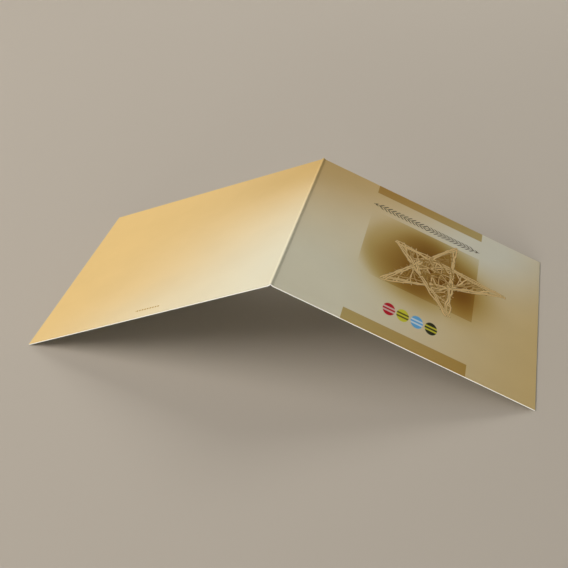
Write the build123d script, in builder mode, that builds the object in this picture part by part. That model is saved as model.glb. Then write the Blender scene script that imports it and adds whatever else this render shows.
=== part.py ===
from build123d import *

import os
from math import cos, radians, sin

# A square greeting card: one sheet of board folded once, standing like a tent.
# Both lower cut edges rest on the floor, the fold is the ridge on top.
#
# Frame: +X across the two covers (back cover at -X, front cover at +X),
#        +Y along the fold, towards the top of the printed front,
#        +Z up. The origin is on the floor, under the middle of the fold.
# All sizes are millimetres and degrees.

# ---- driving dimensions ------------------------------------------------------
cover_width = 148.0        # one cover, fold to cut edge, along the middle of the board
cover_height = 148.0       # one cover, along the fold
board_thickness = 0.5      # about 350 g/m2 board

cover_slope = 22.57        # slope of the flat part of each cover to the floor

# The score leaves a crease: next to the fold each cover still dips at the
# steeper slope it had when the card was pressed shut.
crease_slope = 43.0        # slope of the short flank beside the fold
crease_flank = 0.8         # straight length of that flank
fold_inner_radius = 0.2    # inside of the fold, on the underside
crease_blend_radius = 2.0  # printed side, where the flank turns into the flat cover

# ---- worked out from them ----------------------------------------------------
slope = radians(cover_slope)
crease = radians(crease_slope)
half_thickness = board_thickness / 2
fold_radius = fold_inner_radius + half_thickness      # middle of the board
blend_radius = crease_blend_radius + half_thickness   # middle of the board
panel_length = cover_width - fold_radius * crease - crease_flank - blend_radius * (crease - slope)


def along(angle):
    """Unit step down a cover that slopes at this angle."""
    return cos(angle), -sin(angle)


def outward(angle):
    """Unit step square to that cover, out of its printed side."""
    return sin(angle), cos(angle)


def step(point, direction, distance):
    return point[0] + direction[0] * distance, point[1] + direction[1] * distance


# The middle line of one cover, from the fold down, with the fold's centre at (0, 0).
fold_centre = (0.0, 0.0)
flank_start = step(fold_centre, outward(crease), fold_radius)
flank_end = step(flank_start, along(crease), crease_flank)
blend_centre = step(flank_end, outward(crease), blend_radius)
panel_start = step(blend_centre, outward(slope), -blend_radius)
panel_end = step(panel_start, along(slope), panel_length)

# The inner corner of the cut edge is the card's lowest line, and stands on the floor.
ridge_lift = -step(panel_end, outward(slope), -half_thickness)[1]


def cover_side(side):
    """One face of one cover, from the top of the fold to the cut edge.

    side is +1 for the printed face and -1 for the underside, and the three
    stretches are the fold's arc, the crease's flank and arc, and the flat cover.
    """
    offset = side * half_thickness
    top = (0.0, fold_radius + offset)
    mid_fold = step(fold_centre, outward(crease / 2), fold_radius + offset)
    flank = (step(flank_start, outward(crease), offset), step(flank_end, outward(crease), offset))
    mid_blend = step(blend_centre, outward((crease + slope) / 2), offset - blend_radius)
    panel = (step(panel_start, outward(slope), offset), step(panel_end, outward(slope), offset))
    ThreePointArc(top, mid_fold, flank[0])
    Line(*flank)
    ThreePointArc(flank[1], mid_blend, panel[0])
    Line(*panel)
    return top, panel[1]


# ---- card_sheet: the folded sheet --------------------------------------------
# The section of one cover, between its two faces, is mirrored across the fold
# and carried along Y. The sheet keeps its thickness all the way round.
profile_plane = Plane(origin=(0, 0, ridge_lift), x_dir=(1, 0, 0), z_dir=(0, -1, 0))

with BuildPart() as card_sheet:
    with BuildSketch(profile_plane) as section:
        with BuildLine():
            printed_top, printed_edge = cover_side(+1)
            under_top, under_edge = cover_side(-1)
            Line(printed_edge, under_edge)
            Line(under_top, printed_top)
        make_face()
        mirror(about=Plane.YZ)
    extrude(amount=cover_height / 2, both=True)

card_sheet.part.label = "card_sheet"

os.makedirs("parts", exist_ok=True)
export_step(card_sheet.part, "parts/card_sheet.step")

size = card_sheet.part.bounding_box().size
flat_volume = 2 * cover_width * cover_height * board_thickness
print("stands", round(size.X, 2), "x", round(size.Y, 2), "x", round(size.Z, 2), "mm")
print("volume", round(card_sheet.part.volume, 1), "mm3, flat sheet", round(flat_volume, 1), "mm3")
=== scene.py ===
"""A square greeting card, standing open like a tent, as a small Blender add-on.

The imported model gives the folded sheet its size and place. This file gives it
its looks: a smooth board with crisp cut edges, plain inside. The outside is
printed with a gold and cream wash, two brown bars, a darker square, a star
woven from straw, an ear of grain, four baubles and a row of dashes.
"""

import math

import bpy
import numpy as np
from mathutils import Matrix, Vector


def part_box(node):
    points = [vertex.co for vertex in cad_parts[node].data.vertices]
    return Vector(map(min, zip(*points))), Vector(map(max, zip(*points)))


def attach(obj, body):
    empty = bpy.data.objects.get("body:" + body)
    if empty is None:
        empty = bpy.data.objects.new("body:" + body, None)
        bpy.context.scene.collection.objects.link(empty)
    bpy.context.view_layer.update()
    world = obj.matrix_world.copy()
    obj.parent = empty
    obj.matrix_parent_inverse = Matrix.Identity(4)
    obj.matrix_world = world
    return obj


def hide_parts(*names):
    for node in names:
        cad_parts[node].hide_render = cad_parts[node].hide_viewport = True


bl_info = {
    "name": "Greeting Card",
    "version": (1, 0, 0),
    "blender": (4, 5, 0),
    "location": "View3D > Sidebar > Card",
    "description": "Builds a folded greeting card with a straw star printed on its front",
    "category": "Object",
}

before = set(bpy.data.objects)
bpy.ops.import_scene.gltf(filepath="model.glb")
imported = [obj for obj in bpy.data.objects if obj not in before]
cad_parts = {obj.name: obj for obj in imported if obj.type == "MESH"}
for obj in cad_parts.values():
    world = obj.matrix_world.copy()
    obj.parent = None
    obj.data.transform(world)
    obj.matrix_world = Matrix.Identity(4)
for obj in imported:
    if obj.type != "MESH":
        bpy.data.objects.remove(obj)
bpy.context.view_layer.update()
CAD_LOW, CAD_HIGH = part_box("card_sheet")

MM = 0.001
SPREAD_MAP = "Spread"      # the unfolded sheet, 0 to 1 across both covers and up
BAKE_MAP = "OFBake"        # every face once, most room for the front cover


# ---- settings ----------------------------------------------------------------
def length(name, description, default):
    """A size in metres, shown in the scene's unit."""
    return bpy.props.FloatProperty(name=name, description=description, default=default,
                                   min=0.0, precision=5, subtype="DISTANCE", unit="LENGTH")


def angle(name, description, degrees):
    """A turn, given in degrees."""
    return bpy.props.FloatProperty(name=name, description=description, default=math.radians(degrees),
                                   subtype="ANGLE", unit="ROTATION")


def share(name, description, default):
    """A plain number from 0 to 1."""
    return bpy.props.FloatProperty(name=name, description=description, default=default,
                                   min=0.0, max=1.0, subtype="FACTOR")


def number(name, description, default):
    """A plain number that isn't negative."""
    return bpy.props.FloatProperty(name=name, description=description, default=default, min=0.0)


def colour(name, description, default):
    """A linear colour."""
    return bpy.props.FloatVectorProperty(name=name, description=description, default=default,
                                         size=3, min=0.0, max=1.0, subtype="COLOR")


class SheetSettings(bpy.types.PropertyGroup):
    """Sizes of the folded board."""
    thickness: length("Thickness", "Thickness of the board", 0.5 * MM)
    cover_slope: angle("Cover slope", "Slope of each flat cover to the floor", 22.57)
    crease_slope: angle("Crease slope", "Slope of the short flank beside the fold", 43.0)
    crease_flank: length("Crease flank", "Straight length of that flank", 0.8 * MM)
    fold_radius: length("Fold radius", "Inside radius of the fold", 0.2 * MM)
    blend_radius: length("Blend radius", "Radius where the flank turns into the cover", 2.0 * MM)
    edge_radius: length("Edge radius", "Rounding that the knife leaves on a cut edge", 0.05 * MM)


class PrintSettings(bpy.types.PropertyGroup):
    """Colours and places of the print.

    Places on the front are measured from the fold and the bottom edge.
    """
    gold: colour("Gold", "Main colour of the wash", (0.81, 0.57, 0.23))
    ochre: colour("Ochre", "The wash at the front's outer edge", (0.75, 0.54, 0.215))
    deep_gold: colour("Deep gold", "The wash at the top of the fold", (0.66, 0.45, 0.17))
    cream: colour("Cream", "The palest part, at the foot of the front", (0.84, 0.79, 0.58))
    pale_grey: colour("Pale grey", "The wash at the front's upper outer corner", (0.82, 0.79, 0.63))
    brown: colour("Brown ink", "What one full layer of the brown ink lets through", (0.36, 0.195, 0.027))
    straw: colour("Straw", "The lightest of the straws", (0.90, 0.65, 0.29))
    dark_straw: colour("Dark straw", "The darkest of the straws", (0.40, 0.215, 0.035))
    mark: colour("Mark", "Ink of the ear of grain above the square", (0.10, 0.072, 0.025))
    column_left: length("Column left", "From the fold to the bars and the square", 38.5 * MM)
    column_right: length("Column right", "From the fold to their far side", 108.4 * MM)
    bar_bottom: length("Bottom bar", "Height of the bar at the bottom edge", 10.4 * MM)
    bar_top: length("Top bar", "Height of the bar at the top edge", 9.3 * MM)
    square_bottom: length("Square bottom", "Lower side of the square", 49.7 * MM)
    square_top: length("Square top", "Upper side of the square", 117.2 * MM)
    bar_depth: share("Bar depth", "Layers of brown ink on the bars", 0.38)


class StageSettings(bpy.types.PropertyGroup):
    """The floor, the lights and the camera."""
    floor: colour("Floor", "Plain matt floor", (0.54, 0.49, 0.41))
    focal_length: number("Focal length", "Camera lens, in millimetres on a 36 mm sensor", 68.9)
    azimuth: angle("Azimuth", "Camera's turn about the card, from the front", 12.15)
    elevation: angle("Elevation", "Camera's height above the floor", 32.2)
    distance: length("Distance", "Camera to the point it looks at", 0.630)
    key_power: number("Key power", "Watts of the wide softbox on the left", 57.0)
    front_power: number("Front power", "Watts of the strip light low in front", 2.15)
    back_power: number("Back power", "Watts of the small softbox behind", 7.8)
    sky_strength: number("Sky strength", "Light from all round", 0.087)


def settings():
    """The three groups of settings, in the order of the operators."""
    scene = bpy.context.scene
    return scene.card_sheet, scene.card_print, scene.card_stage


# ---- the folded sheet --------------------------------------------------------
def slope_breaks(card):
    """Distances from the fold along the board where its slope changes, and the slopes there."""
    half = card.thickness / 2
    fold = (card.fold_radius + half) * card.crease_slope
    flank = fold + card.crease_flank
    blend = flank + (card.blend_radius + half) * (card.crease_slope - card.cover_slope)
    return np.array([0.0, fold, flank, blend]), np.array(
        [0.0, card.crease_slope, card.crease_slope, card.cover_slope])


def middle_line(card, stations):
    """Middle of the board at rising distances from the fold, with the slope there.

    The slope grows evenly from level to the crease slope round the fold, holds
    along the flank, falls evenly to the cover's slope and stays there. Each
    step adds its length times the mean cosine and mean sine of the slope over
    it, which for an even turn are the exact chord of its arc.
    """
    slope = np.interp(stations, *slope_breaks(card))
    run, turn = np.diff(stations), np.diff(slope)
    mid = slope[:-1] + turn / 2
    chord = run * np.sinc(turn / 2 / np.pi)
    x = np.concatenate([[0.0], np.cumsum(chord * np.cos(mid))])
    z = np.concatenate([[0.0], -np.cumsum(chord * np.sin(mid))])
    return x, z, slope


def cover_length(card):
    """Length of one cover along the middle of the board, so that the sheet spans the CAD box."""
    breaks, _ = slope_breaks(card)
    x, _, _ = middle_line(card, breaks)
    reach = CAD_HIGH.x - math.sin(card.cover_slope) * card.thickness / 2
    return breaks[-1] + (reach - x[-1]) / math.cos(card.cover_slope)


def rising(*pieces):
    """One list of stations from several, each value once."""
    joined = np.unique(np.concatenate([np.atleast_1d(p) for p in pieces]))
    return joined[np.concatenate([[True], np.diff(joined) > 1e-7])]


def edge_steps(card, steps=4):
    """Distances from a cut edge at even turns round its small quarter circle."""
    return card.edge_radius * (1 - np.cos(np.linspace(0, np.pi / 2, steps + 1)))


def sheet_grid(card, star_box):
    """Stations across both covers and up them, as two rising lists.

    They are close together round the fold and the cut edges, and there is one
    on each side of the box that holds the star.
    """
    breaks, _ = slope_breaks(card)
    width = cover_length(card)
    bends = [np.linspace(a, b, n + 1) for a, b, n in zip(breaks[:-1], breaks[1:], (8, 2, 8))]
    cover = rising(*bends, np.linspace(breaks[-1], width, 13)[:-1], width - edge_steps(card))
    (left, bottom), (right, top) = star_box
    across = rising(-cover[::-1], cover, [left, right])
    half = CAD_HIGH.y
    up = rising(-half + edge_steps(card), half - edge_steps(card), [bottom - half, top - half],
                np.linspace(-half, half, 13)[1:-1])
    return across, up, width


def sheet_surface(card, across, up, width):
    """Both faces of the folded board on the grid, as points and normals.

    A point lies on the middle line, lifted along the line's own normal by half
    the thickness. Within one edge radius of a cut edge the lift drops by a
    quarter circle, and the normal leans over to the side by the same angle, so
    the four cut edges are crisp but not razor sharp.
    """
    x, z, slope = middle_line(card, rising(np.abs(across)))
    place = np.searchsorted(rising(np.abs(across)), np.abs(across) - 1e-9)
    side = np.sign(across)
    x, z, slope = x[place] * side, z[place], slope[place] * side
    out = np.stack([np.sin(slope), np.zeros_like(slope), np.cos(slope)], 1)
    down = np.stack([np.cos(slope), np.zeros_like(slope), -np.sin(slope)], 1) * side[:, None]

    to_side = np.broadcast_to((width - np.abs(across))[:, None], (len(across), len(up)))
    to_end = np.broadcast_to((up[-1] - np.abs(up))[None, :], (len(across), len(up)))
    gap = np.minimum(to_side, to_end)
    radius = card.edge_radius
    lean = 1 - np.minimum(gap / radius, 1)
    rise = np.sqrt(1 - lean ** 2)
    lift = card.thickness / 2 - radius + radius * rise

    sideways = np.where((to_side <= to_end)[..., None], down[:, None, :],
                        np.sign(up)[None, :, None] * np.array([0.0, 1.0, 0.0]))
    ridge = CAD_HIGH.z - card.thickness / 2
    centre = np.stack([np.broadcast_to(x[:, None], gap.shape),
                       np.broadcast_to(up[None, :], gap.shape),
                       np.broadcast_to(ridge + z[:, None], gap.shape)], -1)
    points, normals = [], []
    for face in (+1, -1):
        points.append(centre + face * out[:, None, :] * lift[..., None])
        normals.append(face * out[:, None, :] * rise[..., None] + sideways * lean[..., None])
    return np.stack(points), np.stack(normals)


def quads(corner, flip=False):
    """Four-cornered faces between the neighbours of a grid of vertex numbers."""
    faces = np.stack([corner[:-1, :-1], corner[1:, :-1], corner[1:, 1:], corner[:-1, 1:]], -1)
    return faces.reshape(-1, 4)[:, ::-1] if flip else faces.reshape(-1, 4)


def sheet_faces(across_count, up_count):
    """The closed sheet's faces in six groups.

    They are the printed side, the underside, the near and far edges, and the
    outer edges of the back cover and the front.
    """
    top = np.arange(across_count * up_count).reshape(across_count, up_count)
    under = top + top.size
    near = np.stack([under[:, 0], top[:, 0]], 1)
    far = np.stack([under[:, -1], top[:, -1]], 1)
    back = np.stack([under[0], top[0]], 1)
    front = np.stack([under[-1], top[-1]], 1)
    return [quads(top), quads(under, True), quads(near), quads(far, True),
            quads(back, True), quads(front)]


def island(low, high, a, b):
    """Places in a rectangle of a map, for two shares from 0 to 1."""
    return np.stack([low[0] + (high[0] - low[0]) * a, low[1] + (high[1] - low[1]) * b], -1)


def bake_places(groups, across, up, width):
    """The bake map: the front cover has half of it, and every face has a place of its own."""
    count = len(across) * len(up)
    s = np.tile(np.repeat(across, len(up)), 2)
    v = np.tile(np.tile((up - up[0]) / (up[-1] - up[0]), len(across)), 2)
    printed = (np.arange(2 * count) < count).astype(float)
    places = []
    for kind, faces in enumerate(groups):
        a, b, t = s[faces], v[faces], printed[faces]
        if kind == 0:
            front = (a.mean(1) > 0)[:, None, None]
            places.append(np.where(front, island((0.004, 0.004), (0.704, 0.704), a / width, b),
                                   island((0.004, 0.712), (0.704, 0.996), 1 + a / width, b)))
        elif kind == 1:
            places.append(island((0.712, 0.004), (0.996, 0.704), b, (1 + a / width) / 2))
        elif kind < 4:
            low = 0.712 + 0.03 * (kind - 2)
            places.append(island((0.712, low), (0.996, low + 0.02), (1 + a / width) / 2, t))
        else:
            low = 0.772 + 0.03 * (kind - 4)
            places.append(island((0.712, low), (0.996, low + 0.02), b, t))
    return np.concatenate([p.reshape(-1, 2) for p in places])


def add_map(mesh, name, places):
    layer = mesh.uv_layers.new(name=name)
    layer.uv.foreach_set("vector", places.astype(np.float32).ravel())


def sheet_mesh(name, card, star_box):
    """The folded sheet as one closed mesh with its normals, its two maps and its material slots."""
    across, up, width = sheet_grid(card, star_box)
    points, normals = sheet_surface(card, across, up, width)
    groups = sheet_faces(len(across), len(up))
    faces = np.concatenate(groups)

    mesh = bpy.data.meshes.new(name)
    mesh.from_pydata(points.reshape(-1, 3), [], faces.tolist())

    s = np.tile(np.repeat(across, len(up)), 2)[faces]
    v = np.tile(np.tile(up - up[0], len(across)), 2)[faces]
    spread = np.stack([(1 + s / width) / 2, v / (up[-1] - up[0])], -1)
    add_map(mesh, SPREAD_MAP, spread.reshape(-1, 2))
    add_map(mesh, BAKE_MAP, bake_places(groups, across, up, width))

    kind = np.repeat(np.arange(len(groups)), [len(g) for g in groups])
    (left, bottom), (right, top) = star_box
    middle_s, middle_v = s.mean(1), v.mean(1)
    in_star = (middle_s > left) & (middle_s < right) & (middle_v > bottom) & (middle_v < top)
    slot = np.select([(kind == 0) & in_star, kind == 0, kind == 1], [1, 0, 2], 3)
    mesh.polygons.foreach_set("material_index", slot.astype(np.int32))
    mesh.polygons.foreach_set("use_smooth", np.ones(len(faces), bool))
    mesh.update()
    mesh.normals_split_custom_set_from_vertices(normals.reshape(-1, 3))
    mesh.validate()
    return mesh, width


# ---- material recipes --------------------------------------------------------
class Recipe:
    """Adds nodes to a node tree. An input is another node's socket or a plain value."""

    def __init__(self, tree):
        self.tree = tree

    def add(self, kind, *inputs, **options):
        node = self.tree.nodes.new(kind)
        for name, value in options.items():
            setattr(node, name, value)
        for place, value in enumerate(inputs):
            self.feed(node.inputs[place], value)
        return node

    def feed(self, socket, value):
        if isinstance(value, bpy.types.NodeSocket):
            self.tree.links.new(value, socket)
        elif value is not None:
            socket.default_value = value

    def math(self, operation, *inputs, clamp=False):
        return self.add("ShaderNodeMath", *inputs, operation=operation, use_clamp=clamp).outputs[0]

    def vector(self, operation, *inputs):
        return self.add("ShaderNodeVectorMath", *inputs, operation=operation).outputs["Vector"]

    def measure(self, operation, *inputs):
        """A vector operation whose answer is a number, such as a length."""
        return self.add("ShaderNodeVectorMath", *inputs, operation=operation).outputs["Value"]

    def scaled(self, vector, factor):
        node = self.add("ShaderNodeVectorMath", vector, operation="SCALE")
        self.feed(node.inputs["Scale"], factor)
        return node.outputs["Vector"]

    def step(self, value, low, high, bottom=0.0, top=1.0):
        """Smoothly from bottom to top as value goes from low to high."""
        return self.add("ShaderNodeMapRange", value, low, high, bottom, top,
                        interpolation_type="SMOOTHSTEP").outputs["Result"]

    def mix(self, factor, first, second, blend="MIX"):
        node = self.add("ShaderNodeMix", data_type="RGBA", blend_type=blend)
        self.feed(node.inputs["Factor"], factor)
        self.feed(node.inputs[6], first)
        self.feed(node.inputs[7], second)
        return node.outputs[2]

    def noise(self, vector, scale, detail, output="Fac"):
        node = self.add("ShaderNodeTexNoise")
        for name, value in (("Vector", vector), ("Scale", scale), ("Detail", detail)):
            self.feed(node.inputs[name], value)
        return node.outputs[output]


def inside(recipe, value, low, high, soft):
    """1 where value lies between low and high, with edges this soft."""
    enter = recipe.step(value, low - soft, low + soft)
    leave = recipe.step(value, high - soft, high + soft, 1.0, 0.0)
    return recipe.math("MULTIPLY", enter, leave)


def spot(recipe, place, centre, radii, strength=1.0, turn=0.0):
    """A soft oval spot: strength times e to the minus square of the distance in radii, at most 1.

    The first radius is measured along the line that the turn, in degrees, gives.
    """
    away = recipe.vector("SUBTRACT", place, (*centre, 0.0))
    c, s = math.cos(math.radians(turn)), math.sin(math.radians(turn))
    along = recipe.measure("DOT_PRODUCT", away, (c / radii[0], s / radii[0], 0.0))
    aside = recipe.measure("DOT_PRODUCT", away, (-s / radii[1], c / radii[1], 0.0))
    square = recipe.math("MULTIPLY_ADD", along, along, recipe.math("MULTIPLY", aside, aside))
    fade = recipe.math("EXPONENT", recipe.math("MULTIPLY", square, -1.0))
    return recipe.math("MULTIPLY", fade, strength, clamp=True)


def spread_place(recipe, width, height):
    """Where a point lies on the unfolded sheet, in millimetres: across from the fold, and up."""
    at = recipe.add("ShaderNodeUVMap", uv_map=SPREAD_MAP).outputs["UV"]
    place = recipe.vector("MULTIPLY", at, (2 * width / MM, height / MM, 0.0))
    return recipe.vector("SUBTRACT", place, (width / MM, 0.0, 0.0))


# ---- the print ---------------------------------------------------------------
# Places and sizes in this section are millimetres on the unfolded sheet, and turns are degrees.
OCHRE_FROM_TO = (43.0, 118.0)
CLOUDS = (
    # colour, centre, radii, strength, turn
    ("cream", (11.0, 10.0), (110.0, 78.0), 1.1, 69.0),
    ("cream", (-65.0, 0.0), (50.0, 26.0), 0.38, 0.0),
    ("pale_grey", (110.5, 133.0), (38.0, 60.0), 1.08, -46.0),
    ("deep_gold", (8.0, 148.0), (70.0, 36.0), 1.0, 22.0),
)
MOTTLE_SCALE = 0.035
MOTTLE = 0.015


def wash(recipe, ink, place, s):
    """The background: gold, with soft clouds of the other tones and a faint mottle."""
    tone = recipe.mix(recipe.step(s, *OCHRE_FROM_TO), (*ink.gold, 1), (*ink.ochre, 1))
    for cloud, centre, radii, strength, turn in CLOUDS:
        cover = spot(recipe, place, centre, radii, strength, turn)
        tone = recipe.mix(cover, tone, (*getattr(ink, cloud), 1))
    speckle = recipe.noise(place, MOTTLE_SCALE, 3.0)
    return recipe.scaled(tone, recipe.step(speckle, 0.3, 0.7, 1 - MOTTLE, 1 + MOTTLE))


DASHES_ACROSS = (-82.0, -67.0)
DASHES_UP = (6.8, 7.9)
HALF_DASH_STEP = 0.8
DASH_DEPTH = 0.5


def dashes(recipe, s, v):
    """A tiny row of dashes at the foot of the back cover."""
    dash = recipe.step(recipe.math("PINGPONG", s, HALF_DASH_STEP), 0.2, 0.35)
    across = inside(recipe, s, *DASHES_ACROSS, 0.1)
    row = recipe.math("MULTIPLY", across, inside(recipe, v, *DASHES_UP, 0.15))
    return recipe.math("MULTIPLY", row, dash)


BAR_SOFTNESS = 0.15
SQUARE_SOFTNESS = 0.3
SQUARE_OVAL_CENTRE = (80.0, 84.0)
SQUARE_OVAL_RADII = (42.0, 46.0)
SQUARE_SPOTS = (
    # centre, radii, layers of ink
    ((68.0, 74.0), (28.0, 29.0), 0.84),
    ((78.0, 104.0), (18.0, 15.0), 0.6),
    ((104.0, 74.0), (11.0, 27.0), 0.70),
    ((86.0, 78.0), (17.0, 20.0), 0.7),
    ((71.0, 54.0), (12.0, 8.0), 0.3),
)
SHADOW_BESIDE = ((96.0, 74.0), (17.0, 21.0), 0.85)
SHADOW_BELOW = ((72.0, 58.0), (20.0, 16.0), 0.55)


def square_share(recipe, ink, place, v, height):
    """1 inside the square, fading at its two left corners, outside an oval."""
    square = inside(recipe, v, ink.square_bottom / MM, ink.square_top / MM, SQUARE_SOFTNESS)
    (middle_s, middle_v), (radius_s, radius_v) = SQUARE_OVAL_CENTRE, SQUARE_OVAL_RADII
    from_middle = recipe.vector("SUBTRACT", place, (middle_s, 0.0, 0.0))
    left_only = recipe.vector("MINIMUM", from_middle, (0.0, height / MM, 0.0))
    in_radii = recipe.vector("DIVIDE", left_only, (radius_s, radius_v, 1.0))
    away = recipe.measure("DISTANCE", in_radii, (0.0, middle_v / radius_v, 0.0))
    return recipe.math("MULTIPLY", square, recipe.step(away, 0.88, 1.25, 1.0, 0.0))


def brown_depth(recipe, ink, s, v, place, height):
    """Layers of brown ink: two bars, a square that darkens to its middle, and the star's shadow."""
    column = inside(recipe, s, ink.column_left / MM, ink.column_right / MM, BAR_SOFTNESS)
    foot_top = ink.bar_bottom / MM
    head_bottom = (height - ink.bar_top) / MM
    foot = recipe.step(v, foot_top - BAR_SOFTNESS, foot_top + BAR_SOFTNESS, 1.0, 0.0)
    head = recipe.step(v, head_bottom - BAR_SOFTNESS, head_bottom + BAR_SOFTNESS)
    bars = recipe.math("MULTIPLY", recipe.math("ADD", foot, head), ink.bar_depth)
    middle = 0.0
    for centre, radii, layers in SQUARE_SPOTS:
        middle = recipe.math("ADD", spot(recipe, place, centre, radii, layers), middle)
    square = square_share(recipe, ink, place, v, height)
    inner = recipe.math("MULTIPLY", column, recipe.math("MULTIPLY_ADD", square, middle, bars))
    beside = spot(recipe, place, *SHADOW_BESIDE)
    below = spot(recipe, place, *SHADOW_BELOW)
    shaded = recipe.math("MAXIMUM", inner, recipe.math("MAXIMUM", beside, below))
    return recipe.math("MULTIPLY_ADD", dashes(recipe, s, v), DASH_DEPTH, shaded)


def printed(recipe, ink, colour_in, depth):
    """Colour seen through brown ink: the ink's own colour to the power of its depth."""
    parts = [recipe.math("POWER", channel, depth) for channel in ink.brown]
    film = recipe.add("ShaderNodeCombineColor", *parts).outputs[0]
    return recipe.mix(1.0, colour_in, film, "MULTIPLY")


EAR_CENTRE = (73.0, 124.4)
EAR_REACH = 35.0
EAR_HALF_BREADTH = 2.9
GRAIN_STEP = 2.6


def ear_of_grain(recipe, s, v):
    """A plain ear of grain lying on its side: a stem, and slanting grains that taper to both ends."""
    out = recipe.math("ABSOLUTE", recipe.math("SUBTRACT", s, EAR_CENTRE[0]))
    off = recipe.math("ABSOLUTE", recipe.math("SUBTRACT", v, EAR_CENTRE[1]))
    phase = recipe.math("MULTIPLY", recipe.math("ADD", out, off), 1 / GRAIN_STEP)
    stripe = recipe.step(recipe.math("PINGPONG", phase, 0.5), 0.16, 0.24, 1.0, 0.0)
    taper = recipe.step(out, EAR_REACH - 8.0, EAR_REACH + 1.0, 1.0, 0.2)
    breadth = inside(recipe, recipe.math("DIVIDE", off, taper), 0.5, EAR_HALF_BREADTH, 0.12)
    grain = recipe.math("MULTIPLY", stripe, breadth)
    stem = recipe.step(off, 0.12, 0.3, 1.0, 0.0)
    ends = recipe.step(out, EAR_REACH - 0.1, EAR_REACH, 1.0, 0.0)
    return recipe.math("MULTIPLY", recipe.math("MAXIMUM", grain, stem), ends)


BAUBLES = (
    # place across, body colour, stripe colour
    (62.0, (0.58, 0.008, 0.020), (0.80, 0.55, 0.48)),
    (70.0, (0.72, 0.67, 0.040), (0.12, 0.10, 0.012)),
    (78.2, (0.15, 0.48, 0.82), (0.72, 0.84, 0.88)),
    (86.4, (0.035, 0.035, 0.012), (0.68, 0.62, 0.045)),
)
BAUBLE_HEIGHT = 26.6
BAUBLE_RADII = (3.6, 5.5)
BAUBLE_STRIPE = (0.14, 0.40)      # from the bauble's middle, in radii


def baubles(recipe, colour_in, place):
    """A row of four plain oval baubles, each with two thin stripes round its middle."""
    for across, body, stripe in BAUBLES:
        away = recipe.vector("SUBTRACT", place, (across, BAUBLE_HEIGHT, 0.0))
        away = recipe.vector("DIVIDE", away, (*BAUBLE_RADII, 1.0))
        rim = recipe.measure("LENGTH", away)
        height = recipe.math("ABSOLUTE", recipe.add("ShaderNodeSeparateXYZ", away).outputs[1])
        striped = recipe.mix(inside(recipe, height, *BAUBLE_STRIPE, 0.05), (*body, 1), (*stripe, 1))
        colour_in = recipe.mix(recipe.step(rim, 0.94, 1.04, 1.0, 0.0), colour_in, striped)
    return colour_in


# ---- the straw star ----------------------------------------------------------
# Places and widths in this section are millimetres on the unfolded sheet too.
STAR_TIPS = np.array([(92.5, 116.5), (125.5, 89.6), (94.2, 45.2), (54.0, 51.4), (57.4, 94.6)])
STAR_MARGIN = 4.0
STAR_SEED = 11
STRAWS_PER_POINT = 19
STRAWS_UNDER_FRAME = 26
STRAWS_OVER_FRAME = 22
FRAME_LANES = (-0.9, 0.8, 0.0)
FRAME_WOBBLE = 0.6
FRAME_HALF_WIDTHS = (0.45, 0.65)
STRAW_HALF_WIDTHS = (0.34, 0.56)
FRAME_OVERHANG = 0.8
STRAW_OVERHANG = 2.6
STRAW_BEND = 4.0
STRAW_BEND_SCALE = 0.1
FRAME_LIGHTNESS = 0.8


def star_box():
    """Lower left and upper right corner of the box that holds the star, in metres."""
    return (STAR_TIPS.min(0) - STAR_MARGIN) * MM, (STAR_TIPS.max(0) + STAR_MARGIN) * MM


def crossing(a, b, c, d):
    """Where the line from a to b crosses the line from c to d."""
    along, other, gap = b - a, d - c, c - a
    share_along = (gap[0] * other[1] - gap[1] * other[0]) / (along[0] * other[1] - along[1] * other[0])
    return a + share_along * along


def star_straws():
    """Ends and half widths of all straws, the lowest first, and which of them are the frame.

    Short straws are wound across each point of the star and across its middle,
    with their ends at random places on the two sides that they join. The frame
    is five bundles of three, each from one tip to the next but one, and the last
    straws of the middle are wound over it.
    """
    rng = np.random.RandomState(STAR_SEED)
    tips = STAR_TIPS
    inner = np.array([crossing(tips[k], tips[(k + 2) % 5], tips[(k + 1) % 5], tips[k - 1])
                      for k in range(5)])

    def across_point(k):
        near, far = rng.uniform(0.15, 1.25, 2)
        return tips[k] + (inner[k] - tips[k]) * near, tips[k] + (inner[k - 1] - tips[k]) * far

    def across_middle():
        k, step = rng.randint(5), rng.randint(1, 4)
        return tuple(inner[j % 5] + (inner[(j + 1) % 5] - inner[j % 5]) * rng.uniform(0, 1)
                     for j in (k, k + step))

    def frame_straw(k, lane):
        start, end = tips[k], tips[(k + 2) % 5]
        square = np.array([start[1] - end[1], end[0] - start[0]]) / np.hypot(*(end - start))
        shift = np.outer(lane + rng.uniform(-FRAME_WOBBLE, FRAME_WOBBLE, 2), square)
        return start + shift[0], end + shift[1]

    low = [across_point(k) for _ in range(STRAWS_PER_POINT) for k in range(5)]
    low += [across_middle() for _ in range(STRAWS_UNDER_FRAME)]
    frame_straws = [frame_straw(k, lane) for k in range(5) for lane in FRAME_LANES]
    high = [across_middle() for _ in range(STRAWS_OVER_FRAME)]
    ends = np.array(low + frame_straws + high)
    count = len(ends)
    along = (ends[:, 1] - ends[:, 0]) / np.hypot(*(ends[:, 1] - ends[:, 0]).T)[:, None]
    framed = (np.arange(count) >= len(low)) & (np.arange(count) < len(low) + len(frame_straws))
    past = rng.uniform(0.0, np.where(framed, FRAME_OVERHANG, STRAW_OVERHANG), (2, count))
    ends += np.stack([-along * past[0][:, None], along * past[1][:, None]], 1)
    half = np.where(framed, rng.uniform(*FRAME_HALF_WIDTHS, count), rng.uniform(*STRAW_HALF_WIDTHS, count))
    return ends, half, framed


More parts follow.
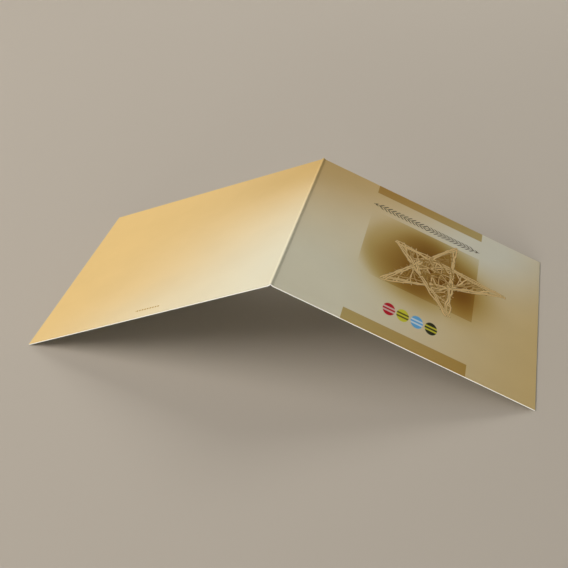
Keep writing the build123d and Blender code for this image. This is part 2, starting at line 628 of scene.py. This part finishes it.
def straw_group():
    """One straw over those below it, as a height: its layer, plus how near its middle line the place is.

    The nearness falls evenly from 1 on the line to 0 at the half width, and past
    that the straw has no height, so the higher of two heights is the straw on top.
    """
    tree = bpy.data.node_groups.new("One straw", "ShaderNodeTree")
    face = tree.interface
    for name, kind in (("Below", "NodeSocketFloat"), ("Place", "NodeSocketVector"),
                       ("Start", "NodeSocketVector"), ("Direction", "NodeSocketVector"),
                       ("Length", "NodeSocketFloat"), ("Half width", "NodeSocketFloat"),
                       ("Layer", "NodeSocketFloat")):
        face.new_socket(name, in_out="INPUT", socket_type=kind)
    face.new_socket("Height", in_out="OUTPUT", socket_type="NodeSocketFloat")
    recipe = Recipe(tree)
    given = recipe.add("NodeGroupInput").outputs
    away = recipe.vector("SUBTRACT", given["Place"], given["Start"])
    along = recipe.measure("DOT_PRODUCT", away, given["Direction"])
    held = recipe.add("ShaderNodeClamp", along, 0.0, given["Length"]).outputs[0]
    nearest = recipe.scaled(given["Direction"], held)
    off = recipe.measure("LENGTH", recipe.vector("SUBTRACT", away, nearest))
    near = recipe.math("SUBTRACT", 0.99, recipe.math("DIVIDE", off, given["Half width"]))
    raised = recipe.math("ADD", given["Layer"], near)
    height = recipe.math("MULTIPLY", raised, recipe.math("GREATER_THAN", near, 0.0))
    recipe.add("NodeGroupOutput", recipe.math("MAXIMUM", height, given["Below"]))
    return tree


def star(recipe, ink, colour_in, place):
    """All straws of the star.

    The top one gives the tone: a random one for each straw, dark more often
    than light, and an even light one for the frame. The nearness to its middle
    line shades its sides. Straws bend one way or the other by turns.
    """
    group = straw_group()
    bend = recipe.noise(place, STRAW_BEND_SCALE, 0.5, "Color")
    shift = recipe.scaled(recipe.vector("SUBTRACT", bend, (0.5, 0.5, 0.5)), STRAW_BEND)
    bent = recipe.vector("MULTIPLY", recipe.vector("ADD", place, shift), (1.0, 1.0, 0.0))
    bowed = recipe.vector("MULTIPLY", recipe.vector("SUBTRACT", place, shift), (1.0, 1.0, 0.0))
    ends, half, framed = star_straws()
    height = 0.0
    for layer, ((start, end), half_width) in enumerate(zip(ends, half), 1):
        reach = np.hypot(*(end - start))
        node = recipe.add("ShaderNodeGroup", node_tree=group)
        values = (height, (bent, bowed)[layer % 2], (*start, 0.0), (*(end - start) / reach, 0.0), reach,
                  half_width, layer)
        for socket, value in zip(node.inputs, values):
            recipe.feed(socket, value)
        height = node.outputs[0]
    layer = recipe.math("FLOOR", height)
    near = recipe.math("FRACT", height)
    chance = recipe.add("ShaderNodeTexWhiteNoise", None, layer, noise_dimensions="1D").outputs[0]
    first = int(np.argmax(framed)) + 1
    frame_share = inside(recipe, layer, first - 0.5, first + np.count_nonzero(framed) - 0.5, 0.1)
    frame_light = recipe.math("MULTIPLY", frame_share, FRAME_LIGHTNESS)
    light = recipe.math("MAXIMUM", recipe.math("MULTIPLY", chance, chance), frame_light)
    tone = recipe.mix(light, (*ink.dark_straw, 1), (*ink.straw, 1))
    tone = recipe.scaled(tone, recipe.step(near, 0.0, 0.6, 0.46, 1.08))
    return recipe.mix(recipe.math("GREATER_THAN", height, 0.5), colour_in, tone)


# ---- materials ---------------------------------------------------------------
def new_material(name):
    material = bpy.data.materials.new(name)
    material.use_nodes = True
    material.node_tree.nodes.clear()
    return material, Recipe(material.node_tree)


TOOTH_SCALE = 2600.0
TOOTH_HEIGHT = 0.02 * MM
FIBRE_SCALE = 900.0


def board_surface(recipe, base, roughness, tooth):
    """The board's shader: a matt to satin coating over a faint paper tooth."""
    at = recipe.add("ShaderNodeTexCoord").outputs["Object"]
    bump = recipe.add("ShaderNodeBump")
    bump.inputs["Strength"].default_value = tooth
    bump.inputs["Distance"].default_value = TOOTH_HEIGHT
    recipe.feed(bump.inputs["Height"], recipe.noise(at, TOOTH_SCALE, 3.0))
    surface = recipe.add("ShaderNodeBsdfPrincipled")
    recipe.feed(surface.inputs["Base Color"], base)
    recipe.feed(surface.inputs["Roughness"], roughness)
    recipe.feed(surface.inputs["Normal"], bump.outputs[0])
    surface.inputs["Specular IOR Level"].default_value = 0.06
    recipe.add("ShaderNodeOutputMaterial", surface.outputs[0])


def print_material(name, ink, width, height, with_star):
    """The printed side. Both materials share all but the star, so that they meet without a seam."""
    material, recipe = new_material(name)
    place = spread_place(recipe, width, height)
    s, v, _ = recipe.add("ShaderNodeSeparateXYZ", place).outputs
    tone = wash(recipe, ink, place, s)
    tone = printed(recipe, ink, tone, brown_depth(recipe, ink, s, v, place, height))
    if with_star:
        tone = star(recipe, ink, tone, place)
    tone = recipe.mix(ear_of_grain(recipe, s, v), tone, (*ink.mark, 1))
    tone = baubles(recipe, tone, place)
    board_surface(recipe, tone, 0.55, 0.3)
    return material


def plain_material(name, tint, roughness):
    """The inside and the cut edges: bare board, a little uneven in tone. The cut edges' tint is lighter
    than the board's own white, as a painted highlight.
    """
    material, recipe = new_material(name)
    at = recipe.add("ShaderNodeTexCoord").outputs["Object"]
    cloudy = recipe.step(recipe.noise(at, FIBRE_SCALE, 4.0), 0.3, 0.7, 0.94, 1.0)
    board_surface(recipe, recipe.scaled(tint, cloudy), roughness, 0.5)
    return material


# ---- operators ---------------------------------------------------------------
SHEET_NAME = "folded_card"


class CARD_OT_sheet(bpy.types.Operator):
    """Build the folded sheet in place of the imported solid"""
    bl_idname = "card.sheet"
    bl_label = "Fold the sheet"

    def execute(self, context):
        card, _, _ = settings()
        mesh, width = sheet_mesh(SHEET_NAME, card, star_box())
        sheet = bpy.data.objects.new(SHEET_NAME, mesh)
        context.scene.collection.objects.link(sheet)
        sheet["cover_width"] = width
        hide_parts("card_sheet")
        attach(sheet, "root")
        return {"FINISHED"}


INSIDE_COLOUR = (0.80, 0.765, 0.67)
# The cut edges' colour is the board's white, made lighter still as a painted highlight along the edges.
CUT_EDGE_WITH_PAINTED_HIGHLIGHT = (0.95, 0.925, 0.85)


class CARD_OT_print(bpy.types.Operator):
    """Print the outside and finish the inside and the cut edges"""
    bl_idname = "card.print"
    bl_label = "Print the sheet"

    def execute(self, context):
        _, ink, _ = settings()
        sheet = bpy.data.objects.get(SHEET_NAME)
        if sheet is None:
            raise RuntimeError("fold the sheet before it is printed")
        width, height = sheet["cover_width"], CAD_HIGH.y - CAD_LOW.y
        for material in (print_material("Printed board", ink, width, height, False),
                         print_material("Printed board with star", ink, width, height, True),
                         plain_material("Inside of the board", INSIDE_COLOUR, 0.6),
                         plain_material("Cut edge with painted highlight", CUT_EDGE_WITH_PAINTED_HIGHLIGHT, 0.75)):
            sheet.data.materials.append(material)
        return {"FINISHED"}


def turned_to(place, target):
    """Rotation that points an object's -Z from place to target, with +Y up."""
    return (target - place).to_track_quat("-Z", "Y").to_euler()


FLOOR_HALF = 12.0                        # metres
SOFTBOXES = (
    # name, place and size in metres, spread in degrees, colour
    ("key", (-1.81, -0.69, 1.42), (2.4, 1.5), 180.0, (1.0, 0.95, 0.93)),
    ("front", (0.20, -2.00, 0.16), (1.2, 0.24), 50.0, (0.93, 0.98, 1.0)),
    ("back", (0.18, 1.25, 1.05), (0.7, 0.7), 180.0, (1.0, 1.0, 1.0)),
)
CAMERA_TARGET = (-0.061, 0.0, 0.074)     # in shares of the card's height
SENSOR_WIDTH = 36.0                      # millimetres


def lay_floor(scene, tint):
    """A large matt floor, seen in the studio only."""
    mesh = bpy.data.meshes.new("floor")
    rim = [(-FLOOR_HALF, -FLOOR_HALF, 0), (FLOOR_HALF, -FLOOR_HALF, 0),
           (FLOOR_HALF, FLOOR_HALF, 0), (-FLOOR_HALF, FLOOR_HALF, 0)]
    mesh.from_pydata(rim, [], [(0, 1, 2, 3)])
    floor = bpy.data.objects.new("floor", mesh)
    scene.collection.objects.link(floor)
    material, recipe = new_material("Floor")
    surface = recipe.add("ShaderNodeBsdfPrincipled")
    surface.inputs["Base Color"].default_value = (*tint, 1)
    surface.inputs["Roughness"].default_value = 0.9
    surface.inputs["Specular IOR Level"].default_value = 0.0
    recipe.add("ShaderNodeOutputMaterial", surface.outputs[0])
    floor.data.materials.append(material)


def light_studio(scene, stage):
    """An even glow from all round, and three softboxes that face the card."""
    world = bpy.data.worlds.new("Studio")
    world.use_nodes = True
    world.node_tree.nodes.clear()
    sky = Recipe(world.node_tree)
    glow = sky.add("ShaderNodeBackground", (1.0, 1.0, 1.0, 1.0), stage.sky_strength)
    sky.add("ShaderNodeOutputWorld", glow.outputs[0])
    scene.world = world

    powers = (stage.key_power, stage.front_power, stage.back_power)
    for (name, place, size, spread, tint), power in zip(SOFTBOXES, powers):
        lamp = bpy.data.lights.new(name, "AREA")
        lamp.shape = "RECTANGLE"
        lamp.size, lamp.size_y = size
        lamp.spread = math.radians(spread)
        lamp.energy = power
        lamp.color = tint
        softbox = bpy.data.objects.new(name, lamp)
        softbox.location = place
        softbox.rotation_euler = turned_to(Vector(place), Vector((0, 0, 0)))
        scene.collection.objects.link(softbox)


def place_camera(scene, stage):
    """The camera, at its turn and height about a point near the card's middle."""
    target = Vector(CAMERA_TARGET) * (CAD_HIGH.y - CAD_LOW.y)
    back = Vector((math.sin(stage.azimuth) * math.cos(stage.elevation),
                   -math.cos(stage.azimuth) * math.cos(stage.elevation), math.sin(stage.elevation)))
    lens = bpy.data.cameras.new("camera")
    lens.sensor_width = SENSOR_WIDTH
    lens.lens = stage.focal_length
    camera = bpy.data.objects.new("camera", lens)
    camera.location = target + back * stage.distance
    camera.rotation_euler = turned_to(camera.location, target)
    scene.collection.objects.link(camera)
    scene.camera = camera
    scene.view_settings.view_transform = "Standard"


class CARD_OT_stage(bpy.types.Operator):
    """Lay the floor, hang the lights and place the camera"""
    bl_idname = "card.stage"
    bl_label = "Set the stage"

    def execute(self, context):
        _, _, stage = settings()
        lay_floor(context.scene, stage.floor)
        light_studio(context.scene, stage)
        place_camera(context.scene, stage)
        return {"FINISHED"}


class CARD_PT_panel(bpy.types.Panel):
    """Lists the steps that build the card, with their settings"""
    bl_idname = "CARD_PT_panel"
    bl_label = "Greeting Card"
    bl_space_type = "VIEW_3D"
    bl_region_type = "UI"
    bl_category = "Card"

    def draw(self, context):
        for owner, group in zip((CARD_OT_sheet, CARD_OT_print, CARD_OT_stage), settings()):
            box = self.layout.box()
            for name in group.bl_rna.properties.keys():
                if name not in {"rna_type", "name"}:
                    box.prop(group, name)
            box.operator(owner.bl_idname)


SETTINGS = {"card_sheet": SheetSettings, "card_print": PrintSettings, "card_stage": StageSettings}
CLASSES = (*SETTINGS.values(), CARD_OT_sheet, CARD_OT_print, CARD_OT_stage, CARD_PT_panel)


def register():
    for cls in CLASSES:
        bpy.utils.register_class(cls)
    for name, group in SETTINGS.items():
        setattr(bpy.types.Scene, name, bpy.props.PointerProperty(type=group))


def unregister():
    for name in SETTINGS:
        delattr(bpy.types.Scene, name)
    for cls in reversed(CLASSES):
        bpy.utils.unregister_class(cls)


def main():
    register()
    bpy.ops.card.sheet()
    bpy.ops.card.print()
    bpy.ops.card.stage()


if __name__ == "__main__":
    main()
